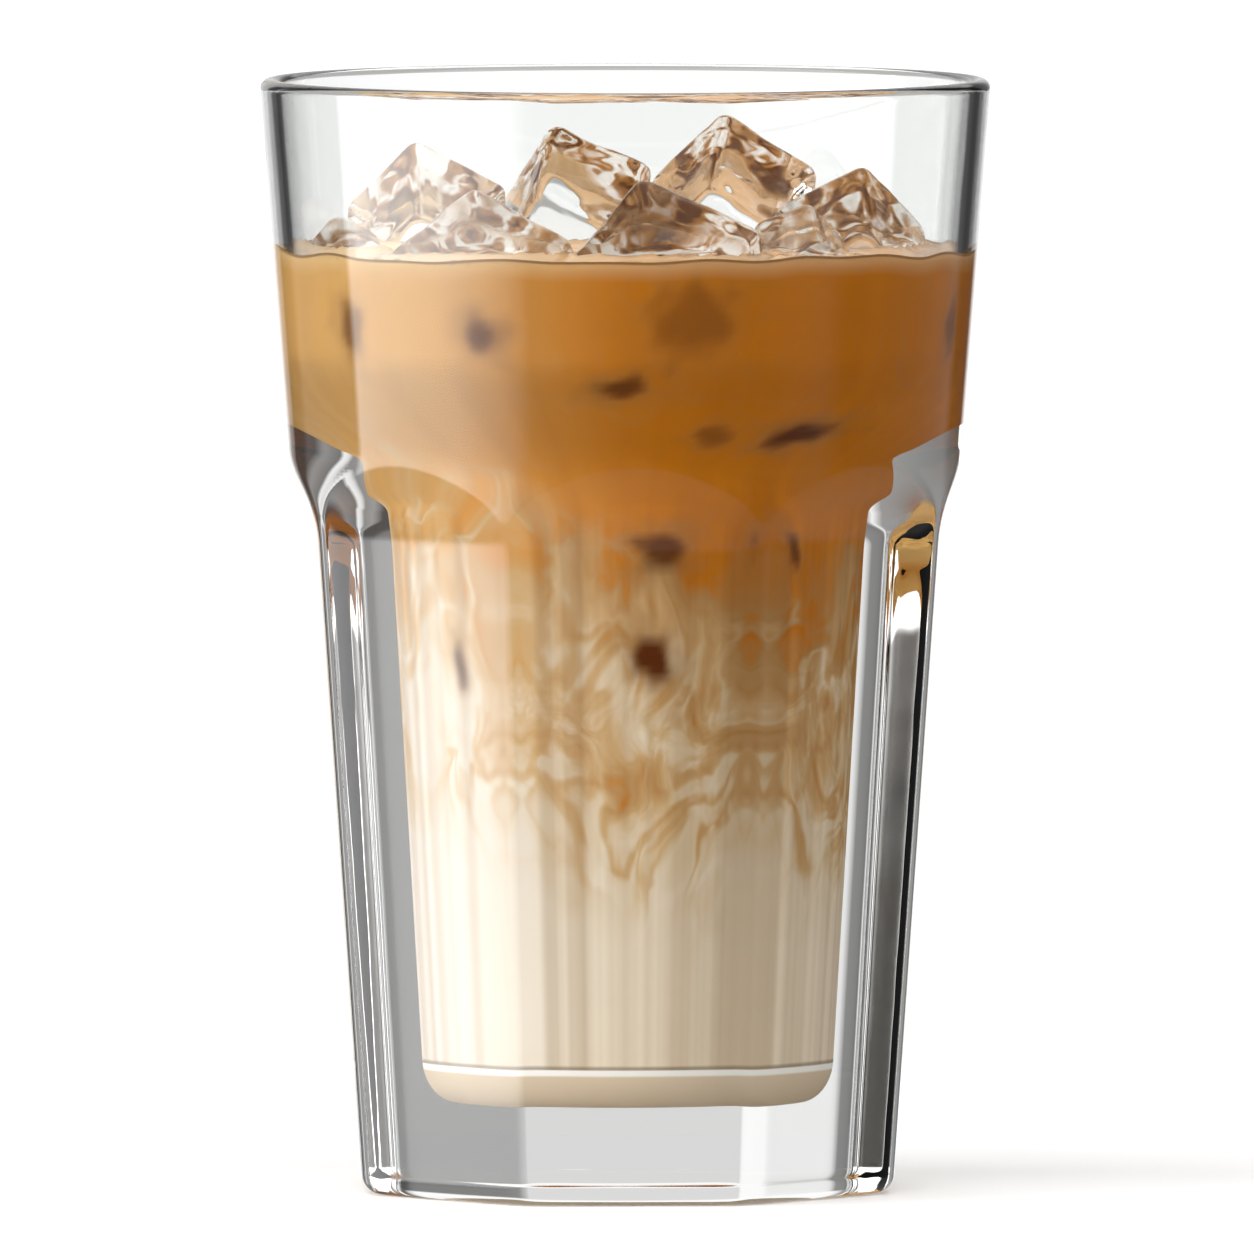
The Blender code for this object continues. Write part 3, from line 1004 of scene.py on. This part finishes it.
@dataclass
class Drink:
    """Milk and coffee in one body that reaches just into the wall, with pockets for the ice."""

    form: TumblerForm
    finish: MilkyCoffee
    level: float = 117.9 * MM
    rise_at_wall: float = 0.9 * MM
    width_at_wall: float = 3.5 * MM
    rise_at_ice: float = 1.5 * MM
    width_at_ice: float = 1.6 * MM
    into_wall: float = 0.12 * MM
    ice_rounding: float = 2.0 * MM
    pocket_slope: float = 2.5
    sway: float = 0.8
    sway_length: float = 9 * MM
    ripple: float = 0.12 * MM
    ripple_length: float = 6 * MM
    edge_depth: float = 6 * MM
    deep: float = 20.0
    cover_edge: float = 0.8 * MM
    ragged: float = 0.45
    ragged_length: float = 2.6 * MM
    sunk_reach: float = 16.0
    sunk_radius: float = 15 * MM
    core: tuple[float, float] = (1.25, 0.8)
    haze: tuple[float, float] = (2.3, 1.6)
    haze_depth: float = 0.5
    pitch: float = 1.0 * MM
    pitch_on_top: float = 0.8 * MM
    wall_margin: float = 0.2 * MM
    floor_margin: float = 6 * MM

    def build(self) -> bpy.types.Object:
        """Spin the body, raise its edge, cut the pockets and dress it.

        Returns:
            The finished drink.
        """
        edge = self.form.well_radius(self.level) + self.into_wall
        profile = [(radius, self.level) for radius in spread(0.0, edge, self.pitch_on_top)]
        profile += self.form.well_profile(self.into_wall, self.level, self.pitch)[1:]
        piece = turned_piece("iced_latte_drink", profile, self.form.columns)
        cubes = [(cube, cube.place().inverted()) for cube in ICE_CUBES]
        move_points(piece, lambda point: self.raised(point, cubes))
        self.mark_surface(piece, cubes)
        self.mark_sunk_ice(piece)
        self.dress(piece)
        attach(piece, "root")
        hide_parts("milk_layer", "coffee_layer")
        return piece

    def raised(self, point: Vector, cubes: list[tuple[IceCube, Matrix]]) -> Vector:
        """Where a point of the level surface goes: up at the wall and round the ice, down below the ice.

        Args:
            point: Its place on the level surface.
            cubes: The cubes, each with the inverse of its place.

        Returns:
            Its place on the finished surface.
        """
        if point.z < self.level - MERGE:
            return point
        radius = math.hypot(point.x, point.y)
        wall = self.form.well_radius(self.level) - radius
        rise = self.rise_at_wall * max(0.0, 1 - wall / self.width_at_wall) ** 2
        rise *= 1 + self.sway * noise.noise(point / self.sway_length)
        climb, sink = 0.0, 0.0
        for cube, inverse in cubes:
            gap = cube.distance(inverse, point, self.ice_rounding)
            climb = max(climb, self.rise_at_ice * math.exp(-max(0.0, gap) / self.width_at_ice))
            if gap < 0.0:
                sink = max(sink, min(cube.pocket * MM, -gap * self.pocket_slope))
        rise += climb - sink + self.ripple * noise.noise(point / self.ripple_length)
        return Vector((point.x, point.y, point.z + rise))

    def mark_surface(self, piece: bpy.types.Object, cubes: list[tuple[IceCube, Matrix]]) -> None:
        """Write how far each point lies below the drink's edge, and where ice lies over the top.

        Args:
            piece: The drink.
            cubes: The cubes, each with the inverse of its place.
        """
        depths, covers = [], []
        edge = self.form.well_radius(self.level) + self.into_wall
        for vertex in piece.data.vertices:
            place = vertex.co
            radius = math.hypot(place.x, place.y)
            depth, cover = self.deep, 0.0
            if place.z > self.level - self.edge_depth and radius > edge - self.pitch_on_top:
                rim = Vector((place.x * edge / radius, place.y * edge / radius, self.level))
                depth = (self.raised(rim, cubes).z - place.z) / MM
            elif place.z > self.level - self.edge_depth:
                flat = Vector((place.x, place.y, self.level))
                gap = min(cube.distance(inverse, flat, self.ice_rounding) for cube, inverse in cubes)
                cover = ease(-gap / self.cover_edge)
            depths.append(depth)
            covers.append(cover)
        write_marks(piece.data, "below_edge", depths)
        write_marks(piece.data, "under_ice_light_and_shadow", covers)

    def mark_sunk_ice(self, piece: bpy.types.Object) -> None:
        """Write how much painted shade, core and haze, the sunk ice puts on each point of the body.

        Args:
            piece: The drink.
        """
        cores, hazes = [], []
        for vertex in piece.data.vertices:
            place = vertex.co
            radius = math.hypot(place.x, place.y)
            azimuth = math.atan2(place.x, -place.y)
            dark, dim = 0.0, 0.0
            for spot in SUNK_ICE:
                across = radius * (azimuth - math.radians(spot.azimuth)) / MM
                up = place.z / MM - spot.height
                if max(abs(across), abs(up)) > self.sunk_reach or radius < self.sunk_radius:
                    continue
                slant = math.radians(spot.slant)
                along = across * math.cos(slant) + up * math.sin(slant)
                over = up * math.cos(slant) - across * math.sin(slant)
                off = math.hypot(along / spot.half_width, over / spot.half_height)
                off *= 1 + self.ragged * noise.noise(place / self.ragged_length)
                dark = max(dark, spot.depth * ease((self.core[0] - off) / self.core[1]))
                dim = max(dim, spot.depth * self.haze_depth * ease((self.haze[0] - off) / self.haze[1]))
            cores.append(dark)
            hazes.append(dim)
        write_marks(piece.data, "sunk_shade_core", cores)
        write_marks(piece.data, "sunk_shade_haze", hazes)

    def dress(self, piece: bpy.types.Object) -> None:
        """Give the wall side and the top their finishes.

        Args:
            piece: The drink.
        """
        mesh = piece.data
        mesh.materials.clear()
        for side in DrinkSide:
            mesh.materials.append(self.finish.material(side))
        floor = self.form.floor_height
        for face in mesh.polygons:
            middle = face.center
            wall = self.form.well_radius(max(middle.z, floor)) - self.wall_margin
            inside = math.hypot(middle.x, middle.y) < wall and middle.z > floor + self.floor_margin
            face.material_index = DrinkSide.TOP.value if inside else DrinkSide.WALL.value
            face.use_smooth = True


def rounded_cube(name: str, cube: IceCube, rounding: float, grow: float, cuts: int) -> bpy.types.Object:
    """Model a cube with rounded edges in its place.

    Args:
        name: Name of the piece.
        cube: Which cube.
        rounding: Radius of its edges.
        grow: How much larger it is on every side.
        cuts: Cuts along each edge.

    Returns:
        The piece, with its place in its mesh.
    """
    bpy.ops.object.select_all(action="DESELECT")
    half = Vector(cube.edges) * MM / 2 + Vector((grow,) * 3)
    bpy.ops.mesh.primitive_cube_add(size=1.0, scale=half * 2)
    piece = name_piece(bpy.context.object, name)
    settle(piece)
    bpy.ops.object.mode_set(mode="EDIT")
    bpy.ops.mesh.select_all(action="SELECT")
    bpy.ops.mesh.subdivide(number_cuts=cuts)
    bpy.ops.object.mode_set(mode="OBJECT")
    core = half - Vector((rounding,) * 3)

    def rounded(point: Vector) -> Vector:
        """Pull a point of the box onto its rounded form."""
        inner = Vector([min(core[axis], max(-core[axis], point[axis])) for axis in range(3)])
        return inner + (point - inner).normalized() * rounding

    move_points(piece, rounded)
    piece.matrix_world = cube.place()
    settle(piece)
    bpy.ops.object.shade_smooth()
    return piece


@dataclass
class FloatingIce:
    """The cubes that stand out of the drink."""

    finish: ClearIce
    rounding: float = 1.9 * MM
    dent: float = 0.34 * MM
    dent_length: float = 5.5 * MM
    dent_middle: float = 0.25
    fine_share: float = 0.3
    fine_parts: float = 3.0
    cuts: int = 19

    def build(self) -> list[bpy.types.Object]:
        """Model every cube and dress it.

        Returns:
            The finished cubes.
        """
        material = self.finish.material()
        return [self.build_cube(cube, material) for cube in ICE_CUBES]

    def build_cube(self, cube: IceCube, material: bpy.types.Material) -> bpy.types.Object:
        """Model one melting cube: rounded edges and faces with shallow dents.

        Args:
            cube: Which cube.
            material: The ice.

        Returns:
            The finished cube.
        """
        piece = rounded_cube(f"melting_{cube.node}", cube, self.rounding, 0.0, self.cuts)
        normals = [vertex.normal.copy() for vertex in piece.data.vertices]
        for vertex, normal in zip(piece.data.vertices, normals):
            wave = noise.noise(vertex.co / self.dent_length)
            wave += self.fine_share * noise.noise(vertex.co / (self.dent_length / self.fine_parts))
            vertex.co += normal * (self.dent * (wave - self.dent_middle))
        piece.data.update()
        apply_modifier(piece, "SUBSURF", {"levels": 1, "render_levels": 1})
        piece.data.materials.append(material)
        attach(piece, "root")
        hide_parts(cube.node)
        return piece


@dataclass
class Bubbles:
    """Small bubbles where the drink meets the wall and the ice."""

    form: TumblerForm
    finish: BubbleFilm
    level: float = 118.5 * MM
    count: int = 26
    smallest: float = 0.25 * MM
    largest: float = 0.75 * MM
    cluster: tuple[float, float] = (-38, 14)
    off_wall: tuple[float, float] = (0.5, 1.4)
    flatness: float = 0.8
    seed: int = 11

    def build(self) -> bpy.types.Object:
        """Model one bubble, copy it along the edge of the drink and dress it.

        Returns:
            The finished bubbles, as one piece.
        """
        draw = random.Random(self.seed)
        copies = []
        for index in range(self.count):
            radius = self.smallest + (self.largest - self.smallest) * draw.random() ** 2
            azimuth = math.radians(draw.gauss(*self.cluster) if index % 2 else draw.uniform(-180, 180))
            reach = self.form.well_radius(self.level) - radius * draw.uniform(*self.off_wall)
            centre = (reach * math.sin(azimuth), -reach * math.cos(azimuth), self.level)
            bpy.ops.object.select_all(action="DESELECT")
            bpy.ops.mesh.primitive_ico_sphere_add(subdivisions=3, radius=radius, location=centre)
            bubble = bpy.context.object
            bpy.ops.object.mode_set(mode="EDIT")
            bpy.ops.mesh.select_all(action="SELECT")
            bpy.ops.transform.resize(value=(1.0, 1.0, self.flatness), center_override=centre)
            bpy.ops.object.mode_set(mode="OBJECT")
            settle(bubble)
            copies.append(bubble)
        bpy.ops.object.select_all(action="DESELECT")
        for bubble in copies:
            bubble.select_set(True)
        bpy.context.view_layer.objects.active = copies[0]
        bpy.ops.object.join()
        piece = name_piece(bpy.context.object, "edge_bubbles")
        bpy.ops.object.shade_smooth()
        piece.data.materials.append(self.finish.material())
        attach(piece, "root")
        return piece


@dataclass
class Studio:
    """Floor, camera and soft light: a white ground behind, a large soft box at the left, dark flags.

    The light comes from all round. A ring gives its brightness by azimuth in degrees, here 0 behind the
    object, 90 at the viewer's right and 180 at the viewer. There is one ring for what lies level with the
    object, one for what lies a little below and one for what lies above. Where one starts to pass into
    the next, and where it has, is given as the height of a direction's unit vector.
    """

    camera_distance: float = 4.0
    camera_rise: float = math.radians(3.4)
    aim: tuple[float, float, float] = (0.0002, 0.0, 0.07075)
    pixels_per_metre: float = 7930.0
    photo_width: float = 1254.0
    sensor: float = 36.0
    floor_size: tuple[float, float] = (0.17, 0.38)
    floor_middle: float = 0.03
    floor_drop: float = 0.02 * MM
    middle_height: float = 70 * MM
    strength: float = 1.1
    bounces: int = 24
    floor_start: tuple[float, float] = (-0.022, -0.034)
    below: float = 0.45
    below_start: tuple[float, float] = (-0.21, -0.30)
    high_start: tuple[float, float] = (0.258, 0.33)
    top: float = 0.8
    top_start: tuple[float, float] = (0.85, 0.95)
    low_ring: tuple[Point, ...] = (
        (-180, 0.04), (-148, 0.15), (-140, 1.8), (-120, 4.4), (-77, 4.8),
        (-75, 0.10), (-37, 0.30), (-36, 0.9), (-34.5, 0.9), (-33.5, 0.16),
        (-25, 0.24), (-23.5, 0.95), (-9, 0.95), (-7, 0.68), (7, 0.68),
        (9, 0.5), (15, 0.24), (25, 0.18), (27, 0.06), (34, 0.06),
        (36, 0.32), (40, 0.24), (41, 0.9), (42.5, 0.9), (43.5, 0.16),
        (50, 0.28), (55, 0.05), (100, 0.05), (110, 0.3), (135, 0.06),
        (180, 0.04),
    )
    floor_ring: tuple[Point, ...] = (
        (-180, 0.04), (-160, 0.05), (-148, 0.15), (-140, 1.8), (-120, 4.4),
        (-77, 4.8), (-75, 0.3), (-40, 0.3), (-35, 0.04), (-24, 0.04),
        (-21, 0.42), (-16, 0.5), (-12, 1.0), (9, 1.0), (13, 0.7),
        (17, 0.05), (33, 0.04), (40, 0.3), (100, 0.05), (110, 0.3),
        (135, 0.06), (180, 0.04),
    )
    high_ring: tuple[Point, ...] = (
        (-180, 1.5), (-150, 2.2), (-125, 2.8), (-80, 2.8), (-74, 0.3),
        (-30, 0.3), (-25, 1.0), (25, 1.0), (30, 0.1), (85, 0.1),
        (95, 1.9), (150, 2.3), (180, 1.5),
    )

    def build(self) -> None:
        """Set up the floor, the camera and the light."""
        self.build_floor()
        self.build_camera()
        self.build_world()
        self.set_render()

    def build_floor(self) -> None:
        """Lay the floor."""
        bpy.ops.object.select_all(action="DESELECT")
        bpy.ops.mesh.primitive_plane_add(size=1.0, location=(0, self.floor_middle, -self.floor_drop))
        bpy.ops.transform.resize(value=(*self.floor_size, 1.0))
        piece = name_piece(bpy.context.object, "studio_floor")
        settle(piece)
        piece.data.materials.append(PaleFloor().material())
        piece.visible_glossy = False

    def build_camera(self) -> None:
        """Place the camera at the photograph's viewing angle."""
        bpy.ops.object.select_all(action="DESELECT")
        height = self.middle_height + self.camera_distance * math.tan(self.camera_rise)
        place = Vector((self.aim[0], -self.camera_distance, height))
        reach = Vector(self.aim) - place
        bpy.ops.object.camera_add(location=place, rotation=reach.to_track_quat("-Z", "Y").to_euler())
        camera = bpy.context.object
        camera.data.sensor_width = self.sensor
        camera.data.lens = self.sensor * reach.length * self.pixels_per_metre / self.photo_width
        camera.data.clip_end = 100
        bpy.context.scene.camera = camera

    def build_world(self) -> None:
        """Light the object from all round, by direction."""
        world = bpy.data.worlds.new("Soft studio light")
        bpy.context.scene.world = world
        world.use_nodes = True
        tree = world.node_tree
        ground = tree.nodes["Background"]
        place = add_node(tree, "TexCoord")
        parts = add_node(tree, "SeparateXYZ", {"Vector": (place, "Generated")})
        around = add_node(tree, "Math", {"operation": "ARCTAN2", 0: (parts, "X"), 1: (parts, "Y")})
        share = add_node(tree, "MapRange", {
            "From Min": -math.pi, "From Max": math.pi, "Value": (around, 0),
        })
        rings = []
        for values in (self.low_ring, self.floor_ring, self.high_ring):
            ring = add_node(tree, "ValToRGB", {"Fac": (share, "Result")})
            set_ramp(ring, [(0.5 + azimuth / 360, (value, value, value, 1.0)) for azimuth, value in values])
            rings.append((ring, "Color"))
        light = rings[0]
        bands = (
            (self.floor_start, rings[1]),
            (self.below_start, (self.below,) * 3 + (1.0,)),
            (self.high_start, rings[2]),
            (self.top_start, (self.top,) * 3 + (1.0,)),
        )
        for reach, above in bands:
            rise = add_node(tree, "MapRange", {
                "interpolation_type": "SMOOTHSTEP", "From Min": reach[0], "From Max": reach[1],
                "Value": (parts, "Z"),
            })
            light = add_node(tree, "Mix", {"data_type": "RGBA", 0: (rise, "Result"), 6: light, 7: above})
            light = (light, 2)
        ray = add_node(tree, "LightPath")
        seen = add_node(tree, "Mix", {
            "data_type": "RGBA", 7: (1.0, 1.0, 1.0, 1.0), 0: (ray, "Is Camera Ray"), 6: light,
        })
        tree.links.new(seen.outputs[2], ground.inputs["Color"])
        ground.inputs["Strength"].default_value = self.strength

    def set_render(self) -> None:
        """Let light pass the many walls of glass and ice, and keep the colours plain."""
        scene = bpy.context.scene
        scene.view_settings.view_transform = "Standard"
        for limit in ("max_bounces", "transmission_bounces", "transparent_max_bounces"):
            setattr(scene.cycles, limit, self.bounces)


def main() -> None:
    """Build every sub-assembly in order."""
    logging.basicConfig(level=logging.INFO, format="%(message)s")
    form = TumblerForm()
    pieces = [Tumbler(form, PressedGlass()).build(), Drink(form, MilkyCoffee()).build()]
    pieces += FloatingIce(ClearIce()).build()
    pieces.append(Bubbles(form, BubbleFilm()).build())
    for piece in pieces:
        log.info("%s: %d faces", piece.name, len(piece.data.polygons))
    Studio().build()


if __name__ == "__main__":
    main()
